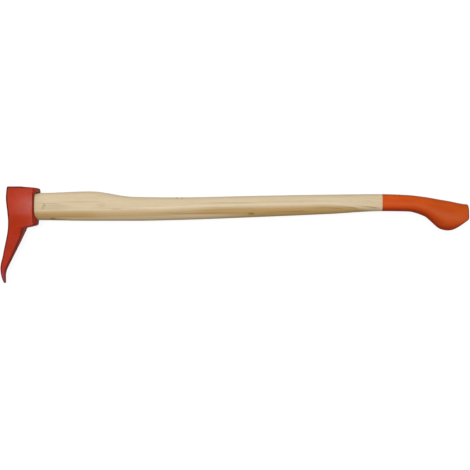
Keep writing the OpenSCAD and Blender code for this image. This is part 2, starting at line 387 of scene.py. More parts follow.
def mesh_object(name: str, points: Sequence[Point], faces: Sequence[Sequence[int]]) -> Object:
    """Make a linked mesh object.

    Args:
        name: The object's name.
        points: Its points in metres.
        faces: The numbers of each face's points.

    Returns:
        The object.
    """
    mesh = bpy.data.meshes.new(name)
    mesh.from_pydata([tuple(p) for p in points], [], [tuple(f) for f in faces])
    mesh.validate()
    return link_object(name, mesh)


def recalculate(obj: Object) -> None:
    """Merge an object's doubles and turn every face of it outwards.

    Args:
        obj: The object.
    """
    work = bmesh.new()
    work.from_mesh(obj.data)
    bmesh.ops.remove_doubles(work, verts=work.verts, dist=MERGE_DISTANCE)
    bmesh.ops.recalc_face_normals(work, faces=work.faces)
    work.to_mesh(obj.data)
    work.free()


def solid(name: str, frame: ToolFrame, rings: Sequence[Sequence[Point]]) -> Object:
    """Make a closed skin over rings.

    Args:
        name: The object's name.
        frame: Place of the drawing frame.
        rings: Rings of equal length in the drawing frame; the first and the last become end faces.

    Returns:
        A mesh object with its faces outwards.
    """
    sides = len(rings[0])
    faces = [tuple(reversed(range(sides))), tuple(range((len(rings) - 1) * sides, len(rings) * sides))]
    for low in range(0, (len(rings) - 1) * sides, sides):
        high = low + sides
        for j in range(sides):
            after = (j + 1) % sides
            faces.append((low + j, low + after, high + after, high + j))
    made = mesh_object(name, [frame.place(p) for ring in rings for p in ring], faces)
    recalculate(made)
    return made


def bake(obj: Object) -> Object:
    """Turn an object's evaluated shape into its plain mesh and drop its modifiers.

    Args:
        obj: The object.

    Returns:
        The same object.
    """
    graph = bpy.context.evaluated_depsgraph_get()
    mesh = bpy.data.meshes.new_from_object(obj.evaluated_get(graph))
    obj.modifiers.clear()
    old = obj.data
    obj.data = mesh
    bpy.data.meshes.remove(old)
    mesh.name = obj.name
    return obj


def modify(obj: Object, kind: str, **settings: object) -> Object:
    """Run one modifier on an object and keep its result.

    Args:
        obj: The object.
        kind: Blender's name for the modifier.
        settings: The modifier's properties.

    Returns:
        The same object.
    """
    modifier = obj.modifiers.new(kind, kind)
    for name, value in settings.items():
        setattr(modifier, name, value)
    return bake(obj)


def combine(obj: Object, tool: Object, way: str = "DIFFERENCE") -> None:
    """Cut an object with a tool, join them or keep what they share, and remove the tool."""
    modify(obj, "BOOLEAN", object=tool, operation=way, solver="EXACT")
    bpy.data.objects.remove(tool)


def shade(obj: Object, sharp_degrees: float = 40.0) -> None:
    """Shade an object smooth, but for its edges above an angle."""
    obj.data.shade_smooth()
    obj.data.set_sharp_from_angle(angle=math.radians(sharp_degrees))


def mark_surface(obj: Object, rounds: int, full: float) -> None:
    """Store at each point how sharply it turns outwards, how far it faces sideways and how far down.

    Args:
        obj: A mesh object.
        rounds: How many times the values are evened out with their neighbours'.
        full: Radius in millimetres at or below which a round edge counts in full.
    """
    mesh = obj.data
    count = len(mesh.vertices)
    places, normals = np.zeros((2, count * 3))
    mesh.vertices.foreach_get("co", places)
    mesh.vertices.foreach_get("normal", normals)
    places, normals = places.reshape(-1, 3), normals.reshape(-1, 3)
    ends = np.zeros(len(mesh.edges) * 2, dtype=np.int64)
    mesh.edges.foreach_get("vertices", ends)
    near, far = ends.reshape(-1, 2).T
    apart = (places[near] - places[far]) / MM
    gap = np.maximum((apart * apart).sum(1), LEAST_SQUARE)
    both = np.concatenate([near, far])
    other = np.concatenate([far, near])
    turn = np.concatenate([(normals[near] * apart).sum(1) / gap, -(normals[far] * apart).sum(1) / gap])
    degree = np.maximum(np.bincount(both, minlength=count), 1)
    value = 4 * np.bincount(both, turn, count) / degree
    for _ in range(rounds):
        value = (value + np.bincount(both, value[other], count) / degree) / 2
    kept = {
        "edge": np.clip(value * full, -1, 1),
        "side": 1 - np.abs(normals[:, 2]),
        "under": -normals[:, 1]}
    for name, values in kept.items():
        layer = mesh.attributes.new(name, "FLOAT", "POINT")
        layer.data.foreach_set("value", values.astype(np.float32))


# Handle


class Station(NamedTuple):
    """One place of the handle: how far its top and underside lie from the axis, and its width."""

    x: float
    top: float
    under: float
    width: float


class Section(NamedTuple):
    """One section of the handle: its place, the height of its middle, its halves and the sole's cut."""

    x: float
    middle: float
    half_h: float
    half_w: float
    sole: float


@dataclass
class HandleShape:
    """The handle's sizes and the rule of its sections, for the wood and for the coat on it.

    The coat begins at grip_x. The flare widens tenon and eye towards the front of the head. The sole
    is a straight cut under the foot, which meets the end face at a depth of end_under and rounds
    into the sides over sole_round.
    """

    length: float = 1000.0
    grip_x: float = 813.0
    coat: float = 0.4
    stations: tuple[Station, ...] = (
        Station(0.0, 29.6, -29.6, 31.0),
        Station(69.2, 29.6, -29.6, 31.0),
        Station(179.0, 33.0, -31.0, 32.0),
        Station(276.0, 21.0, -31.0, 31.0),
        Station(360.0, 20.0, -29.5, 30.0),
        Station(551.0, 23.5, -22.5, 29.0),
        Station(702.0, 26.0, -16.0, 27.75),
        Station(813.0, 27.0, -10.0, 26.5),
        Station(870.0, 25.0, -10.8, 26.5),
        Station(904.0, 21.2, -20.2, 28.6667),
        Station(944.0, 14.4, -50.0, 31.7),
        Station(955.5, 12.5, -52.0, 33.0),
        Station(1000.0, 5.0, -52.0, 33.0))
    eye_flare: float = 1.5
    flare_depth: float = 40.0
    oval_power: float = 2.5
    end_under: float = 28.0
    sole_angle: float = 38.0
    sole_round: float = 9.0
    end_round: float = 3.0
    end_steps: int = 12
    face_rings: int = 10
    sides: int = 96

    def section(self, x: float, grow: float = 0.0, share: float = 1.0) -> Section:
        """One section, in millimetres.

        Args:
            x: Place along the handle.
            grow: How far the section is grown outwards.
            share: 1 for a full section, less for a ring inside an end face, 0 for its middle.

        Returns:
            The section.
        """
        top = smooth_curve([(s.x, s.top) for s in self.stations], x)
        under = smooth_curve([(s.x, s.under) for s in self.stations], x)
        width = smooth_curve([(s.x, s.width) for s in self.stations], x)
        flare = self.eye_flare * (1 - min(max(x, 0.0) / self.flare_depth, 1.0)) ** 2
        out = grow + flare - round_off(self.length - x, self.end_round)
        slope = math.radians(self.sole_angle)
        sole = -self.end_under - (self.length - x) * math.tan(slope) - out / math.cos(slope)
        half_h = ((top - under) / 2 + out) * share
        half_w = (width / 2 + out) * share
        return Section(min(x, self.length + grow), (top + under) / 2, half_h, half_w, sole)

    def end_sections(self, grow: float) -> list[Section]:
        """Sections through the rounded end, grown outwards, and over the end face to its middle.

        Args:
            grow: How far the sections are grown outwards.

        Returns:
            The sections.
        """
        backs = [self.end_round * (1 - math.sin(a)) for a in quarter(0, self.end_steps)]
        rounded = [self.section(self.length - back, grow) for back in backs]
        face = [self.section(self.length, grow, share) for share in spread(1.0, 0.0, self.face_rings)]
        return rounded + face

    def oval(self, sides: int) -> list[tuple[float, float]]:
        """Points of the oval as (across, up), for halves of 1.

        Args:
            sides: How many points.

        Returns:
            The points.
        """
        turns = [2 * math.pi * (k + 0.5) / sides for k in range(sides)]
        return [tuple(math.copysign(abs(v) ** (2 / self.oval_power), v) for v in (math.cos(a), math.sin(a)))
                for a in turns]


class OvalSweep:
    """Geometry Nodes tree that sweeps the handle's oval along a spine of sections."""

    INPUTS = {"Spine": "Geometry", "Sides": "Int", "Oval power": "Float", "Sole round": "Float",
              "Finish": "Material"}
    SPINE_VALUES = ("half_h", "half_w", "sole")
    SEAM = 1e-6

    def __init__(self, shape: HandleShape) -> None:
        """Build the tree for a handle's shape.

        Args:
            shape: The handle's shape.
        """
        self.shape = shape
        self.tree = bpy.data.node_groups.new("oval along spine", "GeometryNodeTree")
        self.sockets: dict[str, str] = {}
        for name, kind in self.INPUTS.items():
            made = self.tree.interface.new_socket(name, in_out="INPUT", socket_type=f"NodeSocket{kind}")
            self.sockets[name] = made.identifier
        self.tree.interface.new_socket("Skin", in_out="OUTPUT", socket_type="NodeSocketGeometry")
        self.work = NodeWork(self.tree)
        self._build()

    def _build(self) -> None:
        """Lay out the tree's nodes."""
        work = self.work
        given = work.node("NodeGroupInput").outputs
        sides = Field(work, given["Sides"])
        count = work.field("GeometryNodeAttributeDomainSize", {"component": "MESH"},
                           {"Geometry": given["Spine"]}, "Point Count")
        grid = work.node("GeometryNodeMeshGrid", None, {"Vertices X": count, "Vertices Y": sides + 1})
        index = work.field("GeometryNodeInputIndex")
        ring = work.maths("FLOOR", (index + 0.5) / (sides + 1))
        turn = (index - ring * (sides + 1)) / sides * (2 * math.pi)
        half_h, half_w, sole = (self._sampled(given["Spine"], name, ring) for name in self.SPINE_VALUES)
        spine = work.node("GeometryNodeInputPosition").outputs[0]
        middle = work.node("GeometryNodeSampleIndex", {"data_type": "FLOAT_VECTOR"},
                           {"Geometry": given["Spine"], "Value": spine, "Index": ring}).outputs["Value"]
        along = work.node("ShaderNodeSeparateXYZ", None, {"Vector": middle}).outputs
        power = 2 / Field(work, given["Oval power"])
        up = self._bowed("SINE", turn, power) * half_h + Field(work, along["Y"])
        across = self._bowed("COSINE", turn, power) * half_w + Field(work, along["Z"])
        reach = Field(work, given["Sole round"])
        share = (reach - abs(up - sole)).at_least(0.0) / reach
        height = up.at_least(sole) + share * share * reach / 4
        place = work.vector(Field(work, along["X"]), height, across)
        skin = work.node("GeometryNodeSetPosition", None,
                         {"Geometry": grid.outputs["Mesh"], "Position": place})
        closed = work.node("GeometryNodeMergeByDistance", None,
                           {"Geometry": skin.outputs[0], "Distance": self.SEAM})
        smooth = work.node("GeometryNodeSetShadeSmooth", None, {0: closed.outputs[0]})
        real = work.node("GeometryNodeRealizeInstances", None, {"Geometry": smooth.outputs[0]})
        dressed = work.node("GeometryNodeSetMaterial", None,
                            {"Geometry": real.outputs[0], "Material": given["Finish"]})
        work.node("NodeGroupOutput", None, {0: dressed.outputs[0]})

    def _sampled(self, spine: NodeSocket, name: str, ring: Field) -> Field:
        """Read one value of the spine at a ring.

        Args:
            spine: The spine's geometry.
            name: The value's name.
            ring: Number of the ring.

        Returns:
            The value.
        """
        named = self.work.node("GeometryNodeInputNamedAttribute", {"data_type": "FLOAT"}, {"Name": name})
        return self.work.field("GeometryNodeSampleIndex", {"data_type": "FLOAT"},
                               {"Geometry": spine, "Value": named.outputs["Attribute"], "Index": ring})

    def _bowed(self, wave: str, turn: Field, power: Field) -> Field:
        """Sine or cosine of a turn to a signed power, which squares the sides of the oval."""
        value = self.work.maths(wave, turn)
        return self.work.maths("SIGN", value) * abs(value) ** power

    def sweep(self, name: str, frame: ToolFrame, sections: Sequence[Section],
              finish: Material) -> Object:
        """Make the skin over a list of sections.

        Args:
            name: The piece's name.
            frame: Place of the drawing frame.
            sections: The sections, in order along the skin.
            finish: The material that the tree sets.

        Returns:
            A plain mesh object with its faces outwards.
        """
        spine = mesh_object(name, [frame.place((s.x, s.middle, 0.0)) for s in sections], [])
        for value, offset in zip(self.SPINE_VALUES, (0.0, 0.0, frame.y)):
            layer = spine.data.attributes.new(value, "FLOAT", "POINT")
            layer.data.foreach_set("value", [(getattr(s, value) + offset) * MM for s in sections])
        modifier = spine.modifiers.new("sweep", "NODES")
        modifier.node_group = self.tree
        modifier[self.sockets["Sides"]] = self.shape.sides
        modifier[self.sockets["Oval power"]] = self.shape.oval_power
        modifier[self.sockets["Sole round"]] = self.shape.sole_round * MM
        modifier[self.sockets["Finish"]] = finish
        bake(spine)
        recalculate(spine)
        return spine


@dataclass(frozen=True)
class Blade:
    """A wedge: its thickness at the tenon's end and at its tip, its depth and its length across the eye.

    An upright one stands along the tenon's height.
    """

    thick: float
    tip: float
    depth: float
    length: float
    upright: bool


@dataclass
class Wedging:
    """The wedges in the tenon's end, and the tools that cut their places."""

    frame: ToolFrame
    wood: Blade = Blade(5.0, 1.2, 44.0, 52.2, True)
    steel: Blade = Blade(3.0, 0.8, 28.0, 20.0, False)
    steel_apart: float = 28.0
    kerf_share: float = 4.0
    fit: float = 0.1

    def _solid(self, name: str, blade: Blade, shift: float = 0.0, grow: float = 0.0) -> Object:
        """One wedge or the tool for its slot, starting ahead of the tenon's end.

        Args:
            name: The object's name.
            blade: The wedge's sizes.
            shift: Height of its middle.
            grow: How far it is grown on every side.

        Returns:
            A closed mesh.
        """
        thick, tip = blade.thick / 2 + grow, blade.tip / 2 + grow
        side = [(-TOOL_PAST, thick), (0.0, thick), (blade.depth + grow, tip)]
        outline = side + [(x, -t) for x, t in reversed(side)]
        half = blade.length / 2 + grow
        rings = [
            [(x, shift + end, t) if blade.upright else (x, shift + t, end) for x, t in outline]
            for end in (-half, half)]
        return solid(name, self.frame, rings)

    def wood_wedge(self, name: str) -> Object:
        """The wooden wedge."""
        return self._solid(name, self.wood)

    def steel_wedge(self, name: str, side: int, grow: float = 0.0) -> Object:
        """The steel wedge above or below the middle, or the tool for its slot."""
        return self._solid(name, self.steel, side * self.steel_apart / 2, grow)

    def cut_kerf(self, obj: Object) -> None:
        """Saw the kerf for the wooden wedge right through."""
        kerf = replace(self.wood, length=self.wood.length * self.kerf_share)
        combine(obj, self._solid("cutter", kerf, 0.0, self.fit))

    def cut_slots(self, obj: Object) -> None:
        """Cut the slots for the steel wedges."""
        for side in (-1, 1):
            combine(obj, self.steel_wedge("cutter", side, self.fit))


# Head


@dataclass
class HeadShape:
    """The head's sizes, the rules of its slices and the tools that cut it.

    The lugs are the two ears that reach back along the handle, and a nose is the thickness of a
    lug's end. The kick is the pick's foremost point, ahead of the brow, and the spine is a point of
    its front above that. The hook's depth runs from the kick back to the toe. The cheeks keep their
    full width down to cheek_drop below the eye's axis, and their back keeps it back_drop further.
    """

    frame: ToolFrame
    width: float = 42.0
    eye_half: float = 29.75
    top: float = 43.05
    sole_y: float = -43.95
    root_y: float = -46.45
    tip_y: float = -166.2
    poll_flat: float = 36.0
    cheek_len: float = 60.7
    cheek_bevel: float = 2.2
    upper_lug: float = 69.2
    upper_nose: float = 8.5
    lower_lug: float = 65.4
    lower_nose: float = 8.8
    nose_round: float = 3.0
    lug_w: float = 22.0
    upper_cut_r: float = 4.0
    lower_cut_r: float = 14.0
    lug_sweep: float = 1.8
    edge_r: float = 3.0
    cheek_drop: float = 17.0
    back_drop: float = 21.0
    back_blend: float = 26.0
    root_x: float = 41.1
    root_bow: float = 2.6
    bow_run: float = 35.0
    root_w: float = 28.0
    root_fillet: float = 2.5
    root_blend: float = 10.0
    throat_dip: float = 4.4
    brow_y: float = 19.7333
    brow_lean: float = 1.6
    pick_kick: float = 15.6
    kick_up: float = 32.0
    spine_kick: float = 9.3
    spine_up: float = 61.0
    hook_d: float = 11.2
    hook_up: float = 25.0
    tip_d: float = 3.2
    tip_w: float = 9.0
    tip_bend: float = 2.2
    tip_round: float = 1.3
    toe_round: float = 4.5
    end_recess: float = 0.8
    eye_fit: float = 0.15
    corner_steps: int = 8
    corner_limit: float = 0.6
    edge_steps: int = 9
    pick_slices: int = 70
    lower_slices: int = 40
    upper_slices: int = 60
    cut_steps: int = 12

    def front_x(self, y: float) -> float:
        """Front of the head.

        Args:
            y: The height.

        Returns:
            Its X.
        """
        kick_y = self.tip_y + self.kick_up
        if y < kick_y:
            back = (self.hook_d - self.tip_d) * ((kick_y - y) / self.kick_up) ** self.tip_bend
            return -self.pick_kick + back
        line = (
            (kick_y, -self.pick_kick),
            (self.tip_y + self.spine_up, -self.spine_kick),
            (-self.eye_half, self.throat_dip),
            (self.brow_y, 0.0),
            (self.top, self.brow_lean))
        return smooth_curve(line, y)

    def back_x(self, y: float) -> float:
        """Back of the head: toe, inner edge of the pick, lugs and poll.

        Args:
            y: The height.

        Returns:
            Its X.
        """
        if y < self.root_y:
            toe_x = -self.pick_kick + self.hook_d
            run = (self.root_x - toe_x) / (self.root_y - self.tip_y - self.hook_up)
            bow = self.root_bow * max(1 + (y - self.root_y) / self.bow_run, 0.0) ** 2
            return soft_max(self.root_x + (y - self.root_y) * run - bow, toe_x, self.toe_round)
        half, nose = self.eye_half, self.nose_round
        line = (
            (self.root_y, self.root_x - self.root_bow),
            (self.sole_y, self.root_x + 3 * self.root_fillet),
            (-half - self.lower_nose - nose / 2, self.lower_lug - nose),
            (-half - self.lower_nose + nose / 2, self.lower_lug - nose / 5),
            (-half, self.lower_lug),
            (half, self.upper_lug),
            (half + self.upper_nose - nose / 2, self.upper_lug - nose / 5),
            (half + self.upper_nose + nose / 2, self.upper_lug - nose),
            (self.top, self.poll_flat))
        return smooth_curve(line, y)

    def half_width(self, y: float) -> float:
        """Half the width of the head at a height.

        Args:
            y: The height.

        Returns:
            Half the width.
        """
        line = (
            (self.tip_y, self.tip_w / 2),
            (self.root_y - self.root_blend, self.root_w / 2),
            (-self.cheek_drop, self.width / 2),
            (self.top, self.width / 2))
        return smooth_curve(line, y)

    def back_half_width(self, y: float) -> float:
        """Half the width at the back of a slice, which stays full down to the pick's root."""
        start = self.root_y - self.back_blend
        return self.half_width(y + self.back_drop * smooth_curve(((start, 0.0), (self.root_y, 1.0)), y))

    def slice(self, y: float) -> list[Point]:
        """Level slice of the head.

        Args:
            y: The height.

        Returns:
            A four-sided outline with round corners.
        """
        inset = round_off(self.top - y, self.edge_r) + round_off(y - self.tip_y, self.tip_round)
        front = self.front_x(y) + inset
        back = self.back_x(y) - inset
        front_w = self.half_width(y) - inset
        back_w = self.back_half_width(y) - inset
        half_d = (back - front) / 2
        r = min(self.edge_r, self.corner_limit * half_d, self.corner_limit * front_w)
        points = []
        for start, sx, sz in ((0, 1, 1), (90, -1, 1), (180, -1, -1), (270, 1, -1)):
            middle = (front + back) / 2 + sx * (half_d - r)
            half_w = back_w if sx > 0 else front_w
            points += [(middle + r * math.cos(a), y, sz * (half_w - r) + r * math.sin(a))
                       for a in quarter(start, self.corner_steps)]
        return points

    def slices(self) -> list[list[Point]]:
        """All slices from the tip up, closer together at the tip and at the top of the poll.

        Returns:
            The slices.
        """
        turns = quarter(0, self.edge_steps)
        heights = [self.tip_y + self.tip_round * (1 - math.cos(a)) for a in turns]
        heights += spread(self.tip_y + self.tip_round, self.root_y, self.pick_slices)
        heights += spread(self.root_y, -self.eye_half, self.lower_slices)
        heights += spread(-self.eye_half, self.top - self.edge_r, self.upper_slices)
        heights += [self.top - self.edge_r * (1 - math.sin(a)) for a in turns[1:]]
        return [self.slice(y) for y in heights]

    def plan(self) -> Object:
        """The head's plan, drawn in from the cheeks to the lugs' ends, as a tall block.

        Returns:
            A closed block.
        """
        start = self.cheek_len - self.cheek_bevel
        drawn = (self.width - self.lug_w) / 2
        edge = [(-self.pick_kick - TOOL_PAST, self.width / 2)]
        for u in [0.0, *spread(0.0, 1.0, self.cut_steps)]:
            sweep = drawn * (1 - u) ** self.lug_sweep
            edge.append((start + u * (self.upper_lug - start), self.lug_w / 2 + sweep))
        edge.append((self.upper_lug + TOOL_PAST, self.lug_w / 2))
        outline = edge + [(x, -z) for x, z in reversed(edge)]
        ends = (self.tip_y - TOOL_PAST, self.top + TOOL_PAST)
        return solid("cutter", self.frame, [[(x, y, z) for x, z in outline] for y in ends])

    def _cut_outline(self) -> list[tuple[float, float]]:
        """Outline of the cut behind the cheeks.

        Returns:
            Its points as (X, Y).
        """
        far = self.upper_lug + TOOL_PAST
        upper, lower = self.upper_cut_r, self.lower_cut_r
        return [
            (far, self.eye_half),
            *((self.cheek_len + upper * (1 + math.cos(a)), self.eye_half + upper * (math.sin(a) - 1))
              for a in quarter(90, self.cut_steps)),
            *((self.cheek_len + lower * (1 + math.cos(a)), -self.eye_half + lower * (math.sin(a) + 1))
              for a in quarter(180, self.cut_steps)),
            (far, -self.eye_half)]

    def _across(self, outline: Line) -> Object:
        """A block over an outline of X and Y, right through the head's width."""
        ends = (-2 * self.width, 2 * self.width)
        return solid("cutter", self.frame, [[(x, y, z) for x, y in outline] for z in ends])

    def behind_cheeks(self) -> Object:
        """The tool that cuts the cheeks back between the lugs."""
        return self._across(self._cut_outline())

    def rear_bevel(self, side: int) -> Object:
        """The tool that bevels one cheek's rear edge.

        Args:
            side: 1 for the upper cheek, -1 for the lower one.

        Returns:
            A closed block.
        """
        low = self.width / 2 - self.cheek_bevel
        rings = [[(x - rise, y, side * (low + rise)) for x, y in self._cut_outline()]
                 for rise in (0.0, self.cheek_bevel + TOOL_PAST)]
        return solid("cutter", self.frame, rings)

    def ahead_of_tenon(self) -> Object:
        """The tool that removes what lies ahead of the tenon's end.

        Returns:
            A closed block.
        """
        far = -self.pick_kick - TOOL_PAST
        face = [(self.front_x(y) + self.end_recess, y) for y in (self.root_y, 0.0, self.top)]
        return self._across([(far, self.root_y), *face, (far, self.top)])


@dataclass
class PickHead:
    """The painted head: lofted, cut, and evened like a forging.

    The cheeks are crowned: they fall away from a middle at crown_x and crown_y by a share across, up
    and down, which crown_bend turns into an even slope further out. Only what lies within
    crown_depth of the full width takes part, and less of it between the two heights of crown_end.
    """

    frame: ToolFrame
    shape: HeadShape
    handle: HandleShape
    bore_sides: int = 72
    bore_rings: int = 10
    voxel: float = 0.8
    evening: int = 5
    held_tip: float = 12.0
    least_evened: float = 0.15
    edge_rounds: int = 4
    edge_full: float = 5.0
    crown_x: float = 44.0
    crown_y: float = 6.0
    fall_across: float = 1.15
    fall_up: float = 3.0
    fall_down: float = 1.2
    crown_reach: float = 42.0
    crown_bend: float = 2.0
    crown_depth: float = 5.0
    crown_end: tuple[float, float] = (-60.0, -20.0)

    def build(self) -> Object:
        """Make the head's mesh.

        Returns:
            The head.
        """
        head = solid("pick_head", self.frame, self.shape.slices())
        combine(head, self.shape.plan(), "INTERSECT")
        combine(head, self._bore())
        combine(head, self.shape.behind_cheeks())
        for side in (-1, 1):
            combine(head, self.shape.rear_bevel(side))
        modify(head, "REMESH", mode="VOXEL", voxel_size=self.voxel * MM)
        self._crown(head)
        self._even_out(head)
        mark_surface(head, self.edge_rounds, self.edge_full)
        head.data.shade_smooth()
        return head

    def _bore(self) -> Object:
        """The tool that cuts the flared eye.

        Returns:
            A closed block.
        """
        lug = self.shape.upper_lug
        oval = self.handle.oval(self.bore_sides)
        waist = spread(0.0, self.handle.flare_depth, self.bore_rings)
        rings = []
        for x in (-TOOL_PAST, 0.0, *waist, lug + TOOL_PAST):
            cut = self.handle.section(min(x, lug), self.shape.eye_fit)
            rings.append([(x, cut.middle + cut.half_h * up, cut.half_w * across) for across, up in oval])
        return solid("cutter", self.frame, rings)

    def _crown(self, head: Object) -> None:
        """Crown the cheeks, which forging leaves a little full at the middle of the eye.

        Args:
            head: The head's mesh object.
        """
        half = self.shape.width / 2
        for vertex in head.data.vertices:
            x, y, z = self.frame.drawn(vertex.co)
            share = min(max((abs(z) - half + self.crown_depth) / self.crown_depth, 0.0), 1.0)
            across = ((x - self.crown_x) / self.crown_reach) ** 2 * self.fall_across
            fall = self.fall_up if y > self.crown_y else self.fall_down
            along = ((y - self.crown_y) / self.crown_reach) ** 2 * fall
            depth = self.crown_bend * (math.sqrt(1 + 2 * (across + along) / self.crown_bend) - 1)
            fade = smooth_curve(((self.crown_end[0], 0.0), (self.crown_end[1], 1.0)), y)
            vertex.co.z -= math.copysign(depth * fade * share * MM, z)

    def _even_out(self, head: Object) -> None:
        """Round the cut edges, holding the pick's tip so that it keeps its length.

        Args:
            head: The head's mesh object.
        """
        group = head.vertex_groups.new(name="evened")
        tip = (self.shape.tip_y + self.frame.y) * MM
        for vertex in head.data.vertices:
            share = (vertex.co.y - tip) / (self.held_tip * MM)
            group.add([vertex.index], min(max(share, self.least_evened), 1.0), "REPLACE")
        modify(head, "SMOOTH", factor=0.5, iterations=self.evening, vertex_group="evened")
        head.vertex_groups.clear()


# Finishes


class Look(NamedTuple):
    """What varies over a finish: its colour, a noise for its roughness and the height of its relief."""

    colour: Field
    uneven: Field
    height: Field


@dataclass(frozen=True)
class Finish:
    """What every finish has: a name, the strength of its relief, its gloss and its roughness.

    Roughness grows where the surface faces sideways. In the finishes, a Step is where it starts,
    where it is full and how much it comes to. A Window is where it starts, is full, fades and is
    gone, and how much it comes to. Both are millimetres of the drawing frame where they follow an
    axis, and come to 1 where they don't say.
    """

    name: str = "finish"
    relief: float = 0.5
    gloss: float = 0.5
    metallic: float = 0.0
    roughness: float = 0.5
    uneven_roughness: float = 0.0
    side_roughness: float = 0.0
    facing: Step = (0.15, 0.8)

    def look(self, work: NodeWork, axes: Axes) -> Look:
        """What varies over the surface, which each finish gives for itself.

        Args:
            work: The work on the material's tree.
            axes: The drawing frame's axes.

        Returns:
            The look.
        """
        raise NotImplementedError

    def material(self, frame: ToolFrame) -> Material:
        """Build the material.

        Args:
            frame: Place of the drawing frame.

        Returns:
            The material.
        """
        material = bpy.data.materials.new(self.name)
        material.use_nodes = True
        work = NodeWork(material.node_tree)
        shader = work.tree.nodes["Principled BSDF"]
        look = self.look(work, frame.axes(work))
        relief = {"Strength": self.relief, "Distance": MM, "Height": look.height}
        normal = work.field("ShaderNodeBump", None, relief, "Normal")
        roughness = self.roughness + (look.uneven - 0.5) * self.uneven_roughness
        if self.side_roughness:
            roughness = roughness + work.attribute("side").rise(*self.facing) * self.side_roughness
        fields = {"Base Color": look.colour, "Roughness": roughness, "Normal": normal}
        for name, value in fields.items():
            work.tree.links.new(value.out, shader.inputs[name])
        shader.inputs["Specular IOR Level"].default_value = self.gloss
        shader.inputs["Metallic"].default_value = self.metallic
        return material


@dataclass(frozen=True)
class HeadEnamel(Finish):
    """Satin red enamel over a forging, with painted shade on its edges, lugs, poll top and towards the
    pick's tip.
    """

    name: str = "head enamel"
    gloss: float = 0.08
    roughness: float = 0.22
    uneven_roughness: float = 0.08
    side_roughness: float = 0.38
    colour: Colour = (0.485, 0.033, 0.005)
    deeper: float = 0.88
    # Painted shade: a dark red for the edges, the lower lug and the top of the poll, and a dark grey for
    # the upper lug.
    painted_shade: Colour = (0.12, 0.014, 0.010)
    upper_lug_shade: Colour = (0.07, 0.07, 0.06)
    # Painted shade: a purplish red down the pick, strongest at its tip.
    tip: Colour = (0.33, 0.062, 0.095)
    cloud: Noise = Noise((30.0, 30.0, 30.0), 3.0, 0.5, 1.0)
    peel: Noise = Noise((1.3, 1.3, 1.3), 1.0, 0.5, 2.0)
    forging: Noise = Noise((14.0, 14.0, 14.0), 2.0, 0.45, 3.0)
    speck: Noise = Noise((2.2, 2.2, 2.2), 2.0, 0.6, 4.0)
    cloudy: Step = (0.35, 0.65)
    # Where painted shade falls: down the pick and at its tip, on the lugs, and along the rounded edges,
    # most at the brow and the poll and least where the lugs start.
    pick_shade: Step = (-45.0, -75.0, 0.08)
    tip_shade: Step = (-132.0, -160.0, 0.75)
    lug_reach: Step = (58.0, 67.0, 0.5)
    lug_lower: Step = (10.0, 0.0)
    lug_upper: Step = (0.0, 10.0)
    brow: Step = (14.0, 4.0)
    above_pick: Step = (-60.0, -40.0)
    poll_rim: Step = (37.0, 42.0)
    tip_rim: Step = (-130.0, -160.0)
    lug_start: Step = (50.0, 54.0)
    lug_top: Step = (25.0, 31.0, 0.6)
    sharp: Step = (0.2, 0.75)
    speckle: float = 0.3
    edge_share: float = 0.7
    rim_share: float = 0.25
    # A painted shade band along the top of the poll.
    poll_shade: tuple[Step, Step] = ((32.0, 43.0, 0.2), (40.5, 42.6, 0.15))
    peel_height: float = 0.03
    forging_height: float = 0.35

    def look(self, work: NodeWork, axes: Axes) -> Look:
        """Give the enamel its look.

        Args:
            work: The work on the material's tree.
            axes: The drawing frame's axes.

        Returns:
            The look.
        """
        x, y, _ = axes
        kinds = (self.cloud, self.peel, self.forging, self.speck)
        cloud, peel, forging, speck = (work.noise(axes, kind) for kind in kinds)
        # Painted shade on the lugs and along the rounded edges, broken up by speckles, most at the brow and
        # the poll.
        lug = x.rise(*self.lug_reach)
        rim = (x.rise(*self.brow) * y.rise(*self.above_pick)).at_least(y.rise(*self.poll_rim))
        rim = rim - y.rise(*self.tip_rim)
        flush = x.rise(*self.lug_start) * y.rise(*self.lug_top)
        sharp = (work.attribute("edge") + (speck - 0.5) * self.speckle).rise(*self.sharp)
        edge_shade = sharp * (self.edge_share + rim * self.rim_share - flush)
        poll_shade = y.rise(*self.poll_shade[0]) + y.rise(*self.poll_shade[1])
        # Over a random deeper tone: painted shade down the pick, along the edges, on the lower lug and the
        # poll's top, and darkest on the upper lug.
        colour = work.colours(self.colour, (
            (cloud.rise(*self.cloudy), tuple(self.deeper * c for c in self.colour)),
            (y.rise(*self.pick_shade), self.tip),
            (y.rise(*self.tip_shade), self.tip),
            (edge_shade.at_least(lug * y.rise(*self.lug_lower)).at_least(poll_shade), self.painted_shade),
            (lug * y.rise(*self.lug_upper), self.upper_lug_shade)))
        height = peel * self.peel_height + forging * self.forging_height
        return Look(colour, speck, height)


